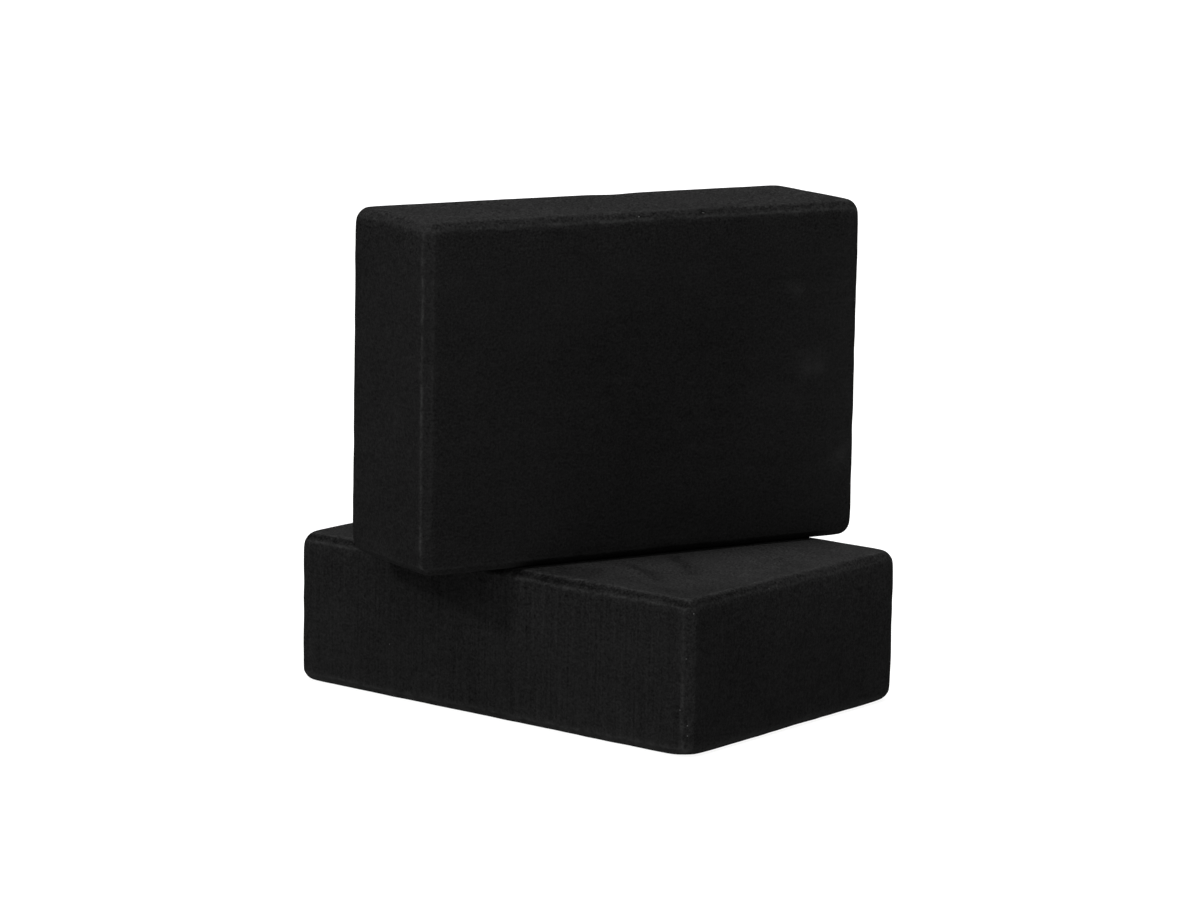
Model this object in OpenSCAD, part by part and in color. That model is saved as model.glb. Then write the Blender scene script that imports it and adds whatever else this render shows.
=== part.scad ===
// A pair of closed-cell foam exercise blocks, stacked: the lower one lies on its
// large face, and the upper one stands on its long narrow side across it.
//
// Origin: centre of the lower block's underside. +X runs along the lower block's
// length, +Y across its width, and +Z points up. Millimetres.

/* [Blocks] */
// Length of each block
block_length = 230; // [180:1:300]
// Width of each block
block_width = 158; // [110:1:175]
// Thickness of each block
block_thickness = 71; // [45:1:100]

/* [Edges] */
// Leg of the 45 degree bevel routed along every edge, measured along each face
edge_bevel = 3.8; // [1:0.1:10]

/* [Stack] */
// Turn of the upper block about the vertical, counted from the lower block's length
upper_turn = 69.5; // [0:0.5:180]
// Upper block's centre along the lower block's length
upper_along = 7; // [-40:1:40]
// Upper block's centre across the lower block's width
upper_across = -3; // [-40:1:40]

/* [Hidden] */

// The lower block's top face is the floor that the upper block stands on
seat_height = block_thickness;
// A square of this side, turned 45 degrees on a corner, cuts a bevel with the leg above
bevel_cutter = edge_bevel * sqrt(2);

// Rectangle centred on the origin, with its four corners bevelled
module bevelled_outline(width, height) {
    difference() {
        square([width, height], center = true);
        for (x = [-width / 2, width / 2], y = [-height / 2, height / 2])
            translate([x, y])
                rotate(45)
                    square(bevel_cutter, center = true);
    }
}

// One block lying flat, centred on the origin. Each of the three extrusions bevels
// the four edges that run along it, and the bevels mitre where they meet.
module foam_block() {
    intersection() {
        linear_extrude(height = block_thickness, center = true)
            bevelled_outline(block_length, block_width);
        rotate([90, 0, 0])
            linear_extrude(height = block_width, center = true)
                bevelled_outline(block_length, block_thickness);
        rotate([90, 0, 90])
            linear_extrude(height = block_length, center = true)
                bevelled_outline(block_width, block_thickness);
    }
}

// Lies on its large face
module lower_block() {
    color("#1f1f20")
        translate([0, 0, block_thickness / 2])
            foam_block();
}

// Stands on its long narrow side, turned across the lower block
module upper_block() {
    color("#19191a")
        translate([upper_along, upper_across, seat_height + block_width / 2])
            rotate([0, 0, upper_turn])
                rotate([90, 0, 0])
                    foam_block();
}

lower_block();
upper_block();
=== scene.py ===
import math

import bpy
import numpy as np
from mathutils import Matrix, Vector, noise


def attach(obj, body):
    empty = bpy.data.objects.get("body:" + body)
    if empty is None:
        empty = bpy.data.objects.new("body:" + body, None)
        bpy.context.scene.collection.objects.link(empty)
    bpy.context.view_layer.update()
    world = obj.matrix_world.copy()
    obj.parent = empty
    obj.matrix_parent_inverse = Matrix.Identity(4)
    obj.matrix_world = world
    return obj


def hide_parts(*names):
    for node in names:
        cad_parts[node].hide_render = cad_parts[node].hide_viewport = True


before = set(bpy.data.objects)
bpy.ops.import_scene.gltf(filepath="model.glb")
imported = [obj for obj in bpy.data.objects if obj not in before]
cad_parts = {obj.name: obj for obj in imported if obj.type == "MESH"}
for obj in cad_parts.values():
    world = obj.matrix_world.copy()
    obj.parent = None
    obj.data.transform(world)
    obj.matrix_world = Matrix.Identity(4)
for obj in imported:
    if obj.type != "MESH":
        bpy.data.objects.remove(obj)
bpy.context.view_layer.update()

# ---------------------------------------------------------------------------
# Lower block: a solid brick of black closed-cell EVA foam lying on its large face.
# It is cut from a slab and never covered: the two large faces are skived, the four
# narrow sides are sawn, and a router runs a 45 degree bevel round every edge.

MM = 0.001
bevel_leg = 3.8 * MM
bevel_waver = 0.38 * MM  # how far the hand-fed router strays
waver_length = 36 * MM  # its stray is one long swing, with a shorter one on top
waver_short = 9 * MM
waver_short_share = 0.7
ridge_softness = 0.40 * MM  # handling wears the bevel's two ridges soft
corner_cut = 0.1 * MM  # and takes this much off each point where three bevels meet
corner_softness = 0.7 * MM  # and rounds those points this much more
corner_reach = 8 * MM
ridge_base = 0.35  # how pale handling leaves an ordinary ridge, against 1 for a well rubbed one
ridge_breadth = 0.65 * MM
burnish_breadth = 2.2  # millimetres, how near a rubbed line a ridge must be to take its shine
burnish_patch = 4 * MM  # the shine comes and goes over this length
edge_paler = 0.25  # hands leave the rim of each face this much paler
edge_breadth = 7 * MM
edge_patch = 30 * MM
edge_coarser = 0.3  # how much coarser that rim's grain is, for how pale it is
mark_patch = 5 * MM  # a rub is broken up over this length
end_sawn = 0.35  # the ends are cut across the block's length, where the ribs show less
stray_dust = 0.0006  # the share of crumbs that stay where nothing gathers dust
slab_wave = 0.22 * MM  # foam is never quite flat after it is cut
slab_wave_length = 70 * MM
face_spacing = 1.5 * MM  # between the mesh's rows on a face
bevel_rows = 5
settling_steps = 5  # moves that bring each point onto the worn surface
ridge_rows = (0.45 * MM, 1.0 * MM)  # finer rows on the faces beside each ridge


def grid_line(half):
    """One axis of the block's grid, low to high: each place, and the turn round the bevel, 0 to 1."""
    flat = half - bevel_leg
    inner = flat - ridge_rows[-1]
    count = round(2 * inner / face_spacing)
    middle = [(-inner + 2 * inner * i / count, 0.0) for i in range(count + 1)]
    ridge = [(flat - d, 0.0) for d in reversed(ridge_rows[:-1])] + [(flat, 0.0)]
    bevel = [(flat, (i + 1) / bevel_rows) for i in range(bevel_rows)]
    high = ridge + bevel
    low = [(-place, turn) for place, turn in reversed(high)]
    return low + middle + high


def sawn_blank(halves):
    """Points and quads of a block with mitred bevels. Faces that meet on a row share its points."""
    lines = [grid_line(h) for h in halves]
    last = [len(line) - 1 for line in lines]
    points, number = [], {}

    def point(index):
        if index not in number:
            turns = [lines[a][index[a]][1] for a in range(3)]
            place = []
            for a in range(3):
                side = 1 if index[a] > last[a] / 2 else -1
                if index[a] in (0, last[a]):
                    others = max(turns[b] for b in range(3) if b != a)
                    place.append(side * (halves[a] - bevel_leg / 2 * others))
                else:
                    at, turn = lines[a][index[a]]
                    place.append(at + side * bevel_leg / 2 * turn)
            number[index] = len(points)
            points.append(place)
        return number[index]

    quads = []
    for a in range(3):
        b, c = (a + 1) % 3, (a + 2) % 3
        for end in (0, last[a]):
            for i in range(last[b]):
                for j in range(last[c]):
                    corners = []
                    for di, dj in ((0, 0), (1, 0), (1, 1), (0, 1)):
                        index = [0, 0, 0]
                        index[a], index[b], index[c] = end, i + di, j + dj
                        corners.append(point(tuple(index)))
                    quads.append(corners if end else corners[::-1])
    return np.array(points), quads


def cutting_planes(halves):
    """Normals and distances of the 6 faces, 12 bevels and 8 worn corners, and which kind each is."""
    normals, distances, kinds = [], [], []
    for x in (-1, 0, 1):
        for y in (-1, 0, 1):
            for z in (-1, 0, 1):
                way = np.array([x, y, z], float)
                kind = int(np.abs(way).sum())
                if not kind:
                    continue
                length = math.sqrt(kind)
                reach = float(np.abs(way) @ np.array(halves))
                corner = 1.5 * bevel_leg + corner_cut * math.sqrt(3)
                taken = {1: 0.0, 2: bevel_leg, 3: corner}[kind]
                normals.append(way / length)
                distances.append((reach - taken) / length)
                kinds.append(kind)
    return np.array(normals), np.array(distances), np.array(kinds)


def wander(points, length, seed, octaves=1):
    """Smooth noise from about -1 to 1 that changes over the given length."""
    return np.array([
        noise.fractal(Vector(p) / length + Vector((seed, seed * 0.37, 0)), 1.0, 2.0, octaves) for p in points
    ])


def nearness(points, path, reach):
    """1 on a path given in millimetres, falling to 0 about two reaches away from it."""
    steps = [np.array(p, float) * MM for p in path]
    best = np.full(len(points), np.inf)
    for a, b in zip(steps, steps[1:] or steps):
        along = b - a
        share = ((points - a) @ along / max(along @ along, 1e-12)).clip(0, 1)
        best = np.minimum(best, np.linalg.norm(points - a - share[:, None] * along, axis=1))
    return np.exp(-((best / (reach * MM)) ** 2))


def wear_block(points, halves, seed, rest, burnished, marks_and_painted_light, dust, dents):
    """Moves the blank's points onto the worn block, and returns them with how worn each one is; the paleness
    it returns holds painted light and painted shade as well as wear.
    rest(points) is 1 where the block lies on something and stays flat."""
    normals, distances, kinds = cutting_planes(halves)
    swing = wander(points, waver_length, seed)
    stray = (swing + waver_short_share * wander(points, waver_short, seed + 7)) * bevel_waver
    to_corner = np.linalg.norm(np.array(halves) - np.abs(points), axis=1)
    softness = (ridge_softness + corner_softness * np.exp(-((to_corner / corner_reach) ** 2)))[:, None]
    bevels = kinds == 2
    p = points.copy()
    for _ in range(settling_steps):
        over = p @ normals.T - distances
        over[:, bevels] += stray[:, None]
        top = over.max(axis=1, keepdims=True)
        share = np.exp((over - top) / softness)
        total = share.sum(axis=1, keepdims=True)
        level = top[:, 0] + softness[:, 0] * np.log(total[:, 0])
        slope = (share / total) @ normals
        p -= (level / (slope ** 2).sum(axis=1))[:, None] * slope
    ranked = np.sort(over, axis=1)
    apart = ranked[:, -1] - ranked[:, -2]
    rubs = sum(nearness(p, path, burnish_breadth) * strength for path, strength in burnished)
    shine = (ridge_base + rubs) * (1 + 0.5 * wander(p, burnish_patch, seed + 1, 2))
    ridge = np.exp(-((apart / ridge_breadth) ** 2)) * shine.clip(0, 2)
    on_face = over[:, kinds == 1].max(axis=1) > over[:, kinds != 1].max(axis=1)
    on_side = on_face * (np.abs(slope[:, 1]) > 0.5)
    sawn = on_side + end_sawn * on_face * (np.abs(slope[:, 0]) > 0.5)
    free = 1 - rest(p)
    sink = slab_wave * (0.5 + 0.5 * wander(p, slab_wave_length, seed + 3, 3)).clip(0, 1) * free
    for place, reach, depth in dents:
        sink += nearness(p, [place], reach) * depth * MM
    rim_patches = (0.6 + wander(p, edge_patch, seed + 5, 3)).clip(0, 2)
    wear_and_painted_light = edge_paler * np.exp(-apart / edge_breadth) * rim_patches
    rubbed = edge_coarser * wear_and_painted_light
    # the marks add rubs and streaks, and also painted light and painted shade
    for path, reach, paler, coarser in marks_and_painted_light:
        near = nearness(p, path, reach) * (0.9 + 0.7 * wander(p, mark_patch, seed + 9, 2))
        wear_and_painted_light += near * paler
        rubbed += near * coarser
    dusty = stray_dust + sum(nearness(p, path, reach) * share for path, reach, share in dust)
    worn = {"ridge": ridge, "sawn": sawn, "wear_and_painted_light": wear_and_painted_light, "rubbed": rubbed, "dusty": dusty}
    return p - slope * sink[:, None], worn


def foam_block(name, pose, halves, seed, rest, burnished, marks_and_painted_light, dust, dents):
    """One worn block as a mesh object, with its values as point attributes."""
    points, quads = sawn_blank(halves)
    points, values = wear_block(points, halves, seed, rest, burnished, marks_and_painted_light, dust, dents)
    mesh = bpy.data.meshes.new(name)
    mesh.from_pydata([tuple(p) for p in points], [], quads)
    mesh.shade_smooth()
    for label, value in values.items():
        attribute = mesh.attributes.new(label, "FLOAT", "POINT")
        attribute.data.foreach_set("value", value.astype(np.float32))
    block = bpy.data.objects.new(name, mesh)
    block.matrix_world = pose
    bpy.context.collection.objects.link(block)
    return block


def block_pose(node, facing, width_way):
    """A block's pose and half sizes, from its CAD solid: x its length, y its width, z its thickness.
    facing picks the large face that is +z, and width_way is the way its width points."""
    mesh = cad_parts[node].data
    widest = max(p.area for p in mesh.polygons)
    large = [p.normal for p in mesh.polygons if p.area > 0.9 * widest]
    thick = max(large, key=lambda n: n.dot(Vector(facing))).normalized()
    width = Vector(width_way)
    axes = [width.cross(thick).normalized(), width, thick]
    spans = [[v.co.dot(a) for v in mesh.vertices] for a in axes]
    centre = sum(((max(s) + min(s)) / 2 * a for s, a in zip(spans, axes)), Vector())
    turn = Matrix(axes).transposed().to_4x4()
    return Matrix.Translation(centre) @ turn, [(max(s) - min(s)) / 2 for s in spans]


def linear(code):
    """An sRGB hex colour as linear values."""
    parts = [int(code[i:i + 2], 16) / 255 for i in (1, 3, 5)]
    return [c / 12.92 if c <= 0.04045 else ((c + 0.055) / 1.055) ** 2.4 for c in parts] + [1.0]


def add(tree, kind, settings=None, **inputs):
    """One node with its settings, and a value or a link for each input. _0 is the first socket."""
    node = tree.nodes.new(kind)
    for key, value in (settings or {}).items():
        setattr(node, key, value)
    for key, value in inputs.items():
        socket = node.inputs[int(key[1:])] if key[0] == "_" else node.inputs[key.replace("_", " ")]
        if isinstance(value, bpy.types.NodeSocket):
            tree.links.new(value, socket)
        else:
            socket.default_value = value
    return node


# EVA foam, black, skived and sawn. The blade opens the cells, so the surface is dead matt with a fine
# grain of dark pits and paler cell walls, and the sides carry the saw's ribs. Handling burnishes the
# ridges and the rims of the faces a little paler, and lint sticks to it here and there. The same
# paleness also carries painted light and painted shade, set by the blocks' marks.
pit_black = linear("#050505")
worn_grey = linear("#363636")
lint_grey = linear("#505050")
base_paleness = 0.073  # how pale the plain cut foam is, from 0 for pit_black to 1 for worn_grey
patch_paler = 0.08
rib_paler = 0.14
drag_paler = 0.04
wear_and_painted_light_paler = 0.08
ridge_paler = 0.18
grain_size = 1.1  # millimetres, as are the next four
patch_size = 34
rib_pitch = 1.2
burnish_size = 6
crumb_pitch = 2
drag_stretch = (0.018, 0.26, 0.26)  # steps of noise a millimetre along the block, across and through it
rib_lean = 0.022  # and how much of a rib's step it drifts for each millimetre through the block
foam = bpy.data.materials.new("eva_foam_skived_and_sawn")
foam.use_nodes = True
t = foam.node_tree
t.nodes.clear()
here = add(t, "ShaderNodeTexCoord").outputs["Object"]
in_mm = add(t, "ShaderNodeVectorMath", {"operation": "SCALE"}, Vector=here, Scale=1000.0).outputs[0]
axis = add(t, "ShaderNodeSeparateXYZ", Vector=in_mm)
sawn = add(t, "ShaderNodeAttribute", {"attribute_name": "sawn"}).outputs["Fac"]
ridge = add(t, "ShaderNodeAttribute", {"attribute_name": "ridge"}).outputs["Fac"]
wear_and_painted_light = add(t, "ShaderNodeAttribute", {"attribute_name": "wear_and_painted_light"}).outputs["Fac"]
rubbed = add(t, "ShaderNodeAttribute", {"attribute_name": "rubbed"}).outputs["Fac"]
dusty = add(t, "ShaderNodeAttribute", {"attribute_name": "dusty"}).outputs["Fac"]

# Cells are about 0.3 mm across. The grain is drawn at 1.1 mm, because finer would not show.
grain = add(t, "ShaderNodeTexNoise", Vector=in_mm, Scale=1 / grain_size, Detail=2.0,
            Roughness=0.8).outputs["Fac"]
# Patches of denser and looser foam, 34 mm across and broken up down to about 1 mm.
patches = add(t, "ShaderNodeTexNoise", Vector=in_mm, Scale=1 / patch_size, Detail=5.0,
              Roughness=0.68).outputs["Fac"]
# The blade drags faint streaks along the block's length, about 55 mm long and 4 mm wide.
drag_at = add(t, "ShaderNodeVectorMath", {"operation": "MULTIPLY"}, _0=in_mm,
              _1=drag_stretch).outputs[0]
drag = add(t, "ShaderNodeTexNoise", Vector=drag_at, Scale=1.0, Detail=2.0, Roughness=0.6).outputs["Fac"]
# Saw ribs run across the thickness at about 1.2 mm, and wander a little.
round_way = add(t, "ShaderNodeMath", {"operation": "ADD"}, _0=axis.outputs["X"],
                _1=axis.outputs["Y"]).outputs[0]
across = add(t, "ShaderNodeMath", {"operation": "MULTIPLY"}, _0=axis.outputs["Z"], _1=rib_lean).outputs[0]
rib_at = add(t, "ShaderNodeCombineXYZ", X=round_way, Y=across).outputs[0]
ribs = add(t, "ShaderNodeTexNoise", {"noise_dimensions": "2D"}, Vector=rib_at, Scale=1 / rib_pitch,
           Detail=2.0, Roughness=0.6).outputs["Fac"]
rib_rise = add(t, "ShaderNodeMath", {"operation": "SUBTRACT"}, _0=ribs, _1=0.45).outputs[0]
ribs_here = add(t, "ShaderNodeMath", {"operation": "MULTIPLY"}, _0=rib_rise, _1=sawn).outputs[0]

# Rubbing opens more cells, so the grain is coarser there.
open_cells = add(t, "ShaderNodeMapRange", Value=rubbed, From_Min=0.0, From_Max=2.0, To_Min=0.39,
                 To_Max=1.6).outputs[0]
grain_rise = add(t, "ShaderNodeMath", {"operation": "SUBTRACT"}, _0=grain, _1=0.5).outputs[0]
# The burnish on a ridge comes and goes along it.
burnish = add(t, "ShaderNodeTexNoise", Vector=in_mm, Scale=1 / burnish_size, Detail=4.0,
              Roughness=0.85).outputs["Fac"]
burnish_here = add(t, "ShaderNodeMapRange", Value=burnish, From_Min=0.38, From_Max=0.62, To_Min=0.0,
                   To_Max=ridge_paler).outputs[0]

# How pale each spot is: the grain's rise on the base, and then each thing that makes it paler.
pale = add(t, "ShaderNodeMath", {"operation": "MULTIPLY_ADD"}, _0=grain_rise, _1=open_cells,
           _2=base_paleness).outputs[0]
for source, strength in [
    (patches, patch_paler),
    (ribs_here, rib_paler),
    (drag, drag_paler),
    # wear from the marks, and the painted light and painted shade they carry
    (wear_and_painted_light, wear_and_painted_light_paler),
    (ridge, burnish_here),
]:
    pale = add(t, "ShaderNodeMath", {"operation": "MULTIPLY_ADD"}, _0=source, _1=strength,
               _2=pale).outputs[0]
body = add(t, "ShaderNodeMix", {"data_type": "RGBA"}, _0=pale, _6=pit_black, _7=worn_grey).outputs[2]

# Lint and foam dust: crumbs half a millimetre across, one here and there and more on the dusty places.
crumbs = add(t, "ShaderNodeTexVoronoi", Vector=in_mm, Scale=1 / crumb_pitch)
in_crumb = add(t, "ShaderNodeMapRange", Value=crumbs.outputs["Distance"], From_Min=0.06, From_Max=0.17,
               To_Min=1.0, To_Max=0.0).outputs[0]
chosen = add(t, "ShaderNodeSeparateColor", Color=crumbs.outputs["Color"]).outputs["Red"]
keep = add(t, "ShaderNodeMath", {"operation": "LESS_THAN"}, _0=chosen, _1=dusty).outputs[0]
crumb = add(t, "ShaderNodeMath", {"operation": "MULTIPLY"}, _0=in_crumb, _1=keep).outputs[0]
colour = add(t, "ShaderNodeMix", {"data_type": "RGBA"}, _0=crumb, _6=body, _7=lint_grey).outputs[2]

height = add(t, "ShaderNodeMath", {"operation": "ADD"}, _0=grain, _1=ribs_here).outputs[0]
bump = add(t, "ShaderNodeBump", Strength=0.8, Distance=0.0006, Height=height).outputs[0]
skin = add(t, "ShaderNodeBsdfPrincipled", Base_Color=colour, Roughness=0.95, IOR=1.45,
           Specular_IOR_Level=0.004, Normal=bump)
add(t, "ShaderNodeOutputMaterial", Surface=skin.outputs[0])

# Half a block's length, width and thickness, in millimetres, for placing its wear from its middle.
END, SIDE, FACE = 115, 79, 35.5
# Its best rubbed ridges, with how much paler each one is.
lower_burnished = [
    (((-END, -75, FACE), (END, -75, FACE)), 0.5),
    (((-END, -SIDE, 32), (END, -SIDE, 32)), 0.5),
    (((111, -SIDE, FACE), (111, SIDE, FACE)), 0.4),
    (((END, -SIDE, 32), (END, SIDE, 32)), -0.4),
    (((111, -SIDE, 32), (111, -SIDE, 8)), 0.3),
    (((111, -SIDE, 4), (111, -SIDE, -30)), 0.9),
    (((END, -75, 32), (END, -75, -32)), 0.1),
    (((-END, -SIDE, -32), (END, -SIDE, -32)), 0.8),
]
# Rubs and brushed streaks, and painted light and painted shade: the path, its breadth, how much paler, and
# how much coarser its grain.
lower_marks_and_painted_light = [
    (((47, -35, FACE), (60, -41, FACE), (79, -53, FACE)), 2.6, -1.0, 0.0),
    (((50, -8, FACE), (62, -14, FACE), (79, -31, FACE)), 3.2, -1.0, 0.0),
    (((28, -60, FACE), (44, -54, FACE)), 4.0, -0.7, 0.0),
    (((88, 22, FACE), (105, 16, FACE)), 4.0, -0.5, 0.0),
    (((60, -60, FACE), (95, -66, FACE)), 3.0, -0.5, 0.0),
    (((-80, -40, FACE), (80, -40, FACE), (80, 40, FACE), (-80, 40, FACE)), 34.0, 0.22, 0.9),
    # painted shade: the top face darker at the foot of the upper block
    (((18, -74, FACE), (46, -66, FACE)), 8.0, -0.8, 0.0),
    # painted light: the top face paler towards its right end, away from the upper block
    (((95, 0, FACE), (105, 70, FACE)), 26.0, 0.7, 0.2),
    (((80, -60, FACE), (100, -20, FACE)), 14.0, 0.4, 0.0),
    # painted shade: dark bands in the top bevels of the long side and the right end, just below the top
    # ridge
    (((-END, -77, 33.6), (END, -77, 33.6)), 1.9, -1.3, 0.0),
    (((113.1, -SIDE, 33.6), (113.1, SIDE, 33.6)), 2.2, -1.0, 0.0),
    (((113.1, -77, 33), (113.1, -77, -33)), 2.6, 0.55, 0.4),
    # painted light: the long side's and the right end's bottom bevels are painted paler, standing in for
    # light bounced up from the floor
    (((-END, -77, -33.6), (END, -77, -33.6)), 2.6, 2.0, 0.0),
    (((113.1, -77, -33.6), (113.1, SIDE, -33.6)), 2.6, 1.2, 0.0),
    # painted shade: the whole right end a little darker, as it faces away from the key light
    (((END, -45, 0), (END, 45, 0)), 40.0, -0.15, 0.0),
    (((END, 60, 10), (END, 60, -10)), 20.0, 0.0, 0.1),
]
# Where dust has gathered: the path, its breadth, and the share of crumbs that stay.
lower_dust = [
    (((113, -77, 8), (113, -77, -33)), 2.2, 0.45),
    (((113, -77, 30), (113, -77, 8)), 2.2, 0.1),
    (((END, 0, 5), (END, 60, -10)), 26.0, 0.07),
    (((113, -50, 33), (113, -20, 33)), 2.0, 0.3),
]
# Dents from its life in a bag: the place, its breadth and its depth.
lower_dents = [
    ((113, -77, -35), 7, 1.3),
    ((-END, -SIDE, 12), 6, 0.5),
    ((END, 30, 33), 8, 0.4),
    ((-30, SIDE, 30), 8, 0.5),
]
lower_pose, lower_halves = block_pose("lower_block", facing=(0, 0, 1), width_way=(0, 1, 0))
lower_seed = 3


def lower_rest(p):
    """The underside, which lies on the floor."""
    return (p[:, 2] < -30 * MM).astype(float)


lower = foam_block("lower_block_foam", lower_pose, lower_halves, lower_seed, lower_rest,
                   lower_burnished, lower_marks_and_painted_light, lower_dust, lower_dents)
lower.data.materials.append(foam)
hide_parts("lower_block")
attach(lower, "lower_block")

# ---------------------------------------------------------------------------
# Upper block: the same foam brick, stood on its long narrow side across the lower one.
# Nothing fixes it: it rests by its own weight, and lifts off.

upper_burnished = [
    (((-END, SIDE, 32), (END, SIDE, 32)), 0.3),
    (((-50, 75, FACE), (END, 75, FACE)), 0.7),
    (((-END, -75, 32), (-END, 75, 32)), 1.2),
    (((-111, 10, FACE), (-111, 75, FACE)), 0.2),
    (((-111, -75, FACE), (0, -75, FACE)), 0.3),
    (((111, -75, FACE), (111, 75, FACE)), -0.2),
]
# Rubs and brushed streaks, and painted light and painted shade, in the same columns as the lower block's.
upper_marks_and_painted_light = [
    (((85, 3, FACE), (91, 4, FACE)), 6.0, 1.35, 0.0),
    (((76, 41, FACE), (81, 38, FACE)), 2.6, 1.1, 0.0),
    (((104, -42, FACE), (112, -36, FACE)), 5.0, 0.9, 0.0),
    (((55, -8, FACE), (80, -12, FACE)), 7.0, 0.3, 0.0),
    (((0, 0, FACE), (20, 10, FACE)), 45.0, -0.35, 0.0),
    (((-105, 70, FACE), (-60, 62, FACE)), 32.0, 0.22, 0.0),
    (((110, 45, FACE), (110, -45, FACE)), 20.0, 0.25, 0.0),
    # painted light: the left end, which faces the key light, paler over its upper half
    (((-END, 70, 0), (-END, 0, 0)), 38.0, 0.2, 0.0),
    # painted shade: a dark band in the top bevel of the front face, just below the top ridge
    (((-END, 77, 33.6), (END, 77, 33.6)), 1.9, -0.5, 0.0),
    (((-100, SIDE, -15), (100, SIDE, -15), (100, SIDE, 15), (-100, SIDE, 15)), 16.0, 0.25, 1.8),
    (((-END, -60, 0), (-END, 60, 0)), 40.0, 0.0, 0.22),
]
upper_dust = [
    (((-END, 0, 0), (-END, 60, 0)), 30.0, 0.004),
    (((-60, 77, 33.6), (60, 77, 33.6)), 2.0, 0.05),
]
upper_dents = [
    ((-END, 20, 35), 7, 0.4),
    ((-END, -40, 35), 9, 0.45),
    ((60, SIDE, 35), 10, 0.4),
    ((20, SIDE, -35), 9, 0.5),
]
upper_pose, upper_halves = block_pose("upper_block", facing=(0, -1, 0), width_way=(0, 0, 1))
upper_seed = 11


def upper_rest(p):
    """The long narrow side that it stands on."""
    return (p[:, 1] < -75 * MM).astype(float)


upper = foam_block("upper_block_foam", upper_pose, upper_halves, upper_seed, upper_rest,
                   upper_burnished, upper_marks_and_painted_light, upper_dust, upper_dents)
upper.data.materials.append(foam)
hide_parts("upper_block")
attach(upper, "upper_block")

# ---------------------------------------------------------------------------
# Floor: a light table, a sheet of opal white acrylic lit evenly from beneath, which keeps it white
# even under the blocks' overhang.
floor_half = 14  # metres, so that its edge stays out of sight
floor_corners = [(x * floor_half, y * floor_half, 0) for x, y in ((-1, -1), (1, -1), (1, 1), (-1, 1))]
floor_mesh = bpy.data.meshes.new("floor")
floor_mesh.from_pydata(floor_corners, [], [(0, 1, 2, 3)])
floor = bpy.data.objects.new("floor", floor_mesh)
bpy.context.collection.objects.link(floor)
acrylic = bpy.data.materials.new("opal_acrylic_matt_cast")
acrylic.use_nodes = True
sheet = acrylic.node_tree.nodes["Principled BSDF"]
sheet.inputs["Base Color"].default_value = linear("#6c6c6c")
sheet.inputs["Roughness"].default_value = 1.0
sheet.inputs["Specular IOR Level"].default_value = 0.0
sheet.inputs["Emission Color"].default_value = linear("#ffffff")
sheet.inputs["Emission Strength"].default_value = 0.9
floor_mesh.materials.append(acrylic)

# ---------------------------------------------------------------------------
# Studio light: four large softboxes, above, left of the front, before and behind, in a dim pale room.
scene = bpy.context.scene
scene.view_settings.view_transform = "Standard"
world = bpy.data.worlds.new("pale_room")
scene.world = world
world.use_nodes = True
world.node_tree.nodes["Background"].inputs["Color"].default_value = (1, 1, 1, 1)
world.node_tree.nodes["Background"].inputs["Strength"].default_value = 0.05

# Each one's name, the way to it, its strength, and how wide it looks in degrees.
softboxes = [
    ("overhead", (0.0, 0.0, 1.0), 6.95, 18),
    ("key_left", (-0.27, -0.75, 0.60), 1.95, 8),
    ("fill_front", (0.50, -0.63, 0.59), 2.12, 45),
    ("behind", (-0.51, 0.64, 0.57), 1.5, 45),
]
for title, way, strength, spread in softboxes:
    light = bpy.data.lights.new(title, "SUN")
    light.energy = strength
    light.angle = math.radians(spread)
    lamp = bpy.data.objects.new(title, light)
    lamp.rotation_euler = Vector(way).to_track_quat("Z", "Y").to_euler()
    bpy.context.collection.objects.link(lamp)

# ---------------------------------------------------------------------------
# Camera: standing 2 m off, a little above the stack, on a long lens.
view_azimuth = math.radians(38.41)
view_height = math.radians(10.02)
view_roll = math.radians(0.994)
view_distance = 1.9908
view_target = Vector((0.0004, 0.0003, 0.1133))
lens = bpy.data.cameras.new("camera")
lens.sensor_width = 36.0
lens.lens = 129.5
lens.clip_end = 100
camera = bpy.data.objects.new("camera", lens)
turn = (Matrix.Rotation(view_azimuth, 4, "Z") @ Matrix.Rotation(math.pi / 2 - view_height, 4, "X")
        @ Matrix.Rotation(view_roll, 4, "Z"))
camera.matrix_world = Matrix.Translation(view_target + turn @ Vector((0, 0, view_distance))) @ turn
bpy.context.collection.objects.link(camera)
scene.camera = camera
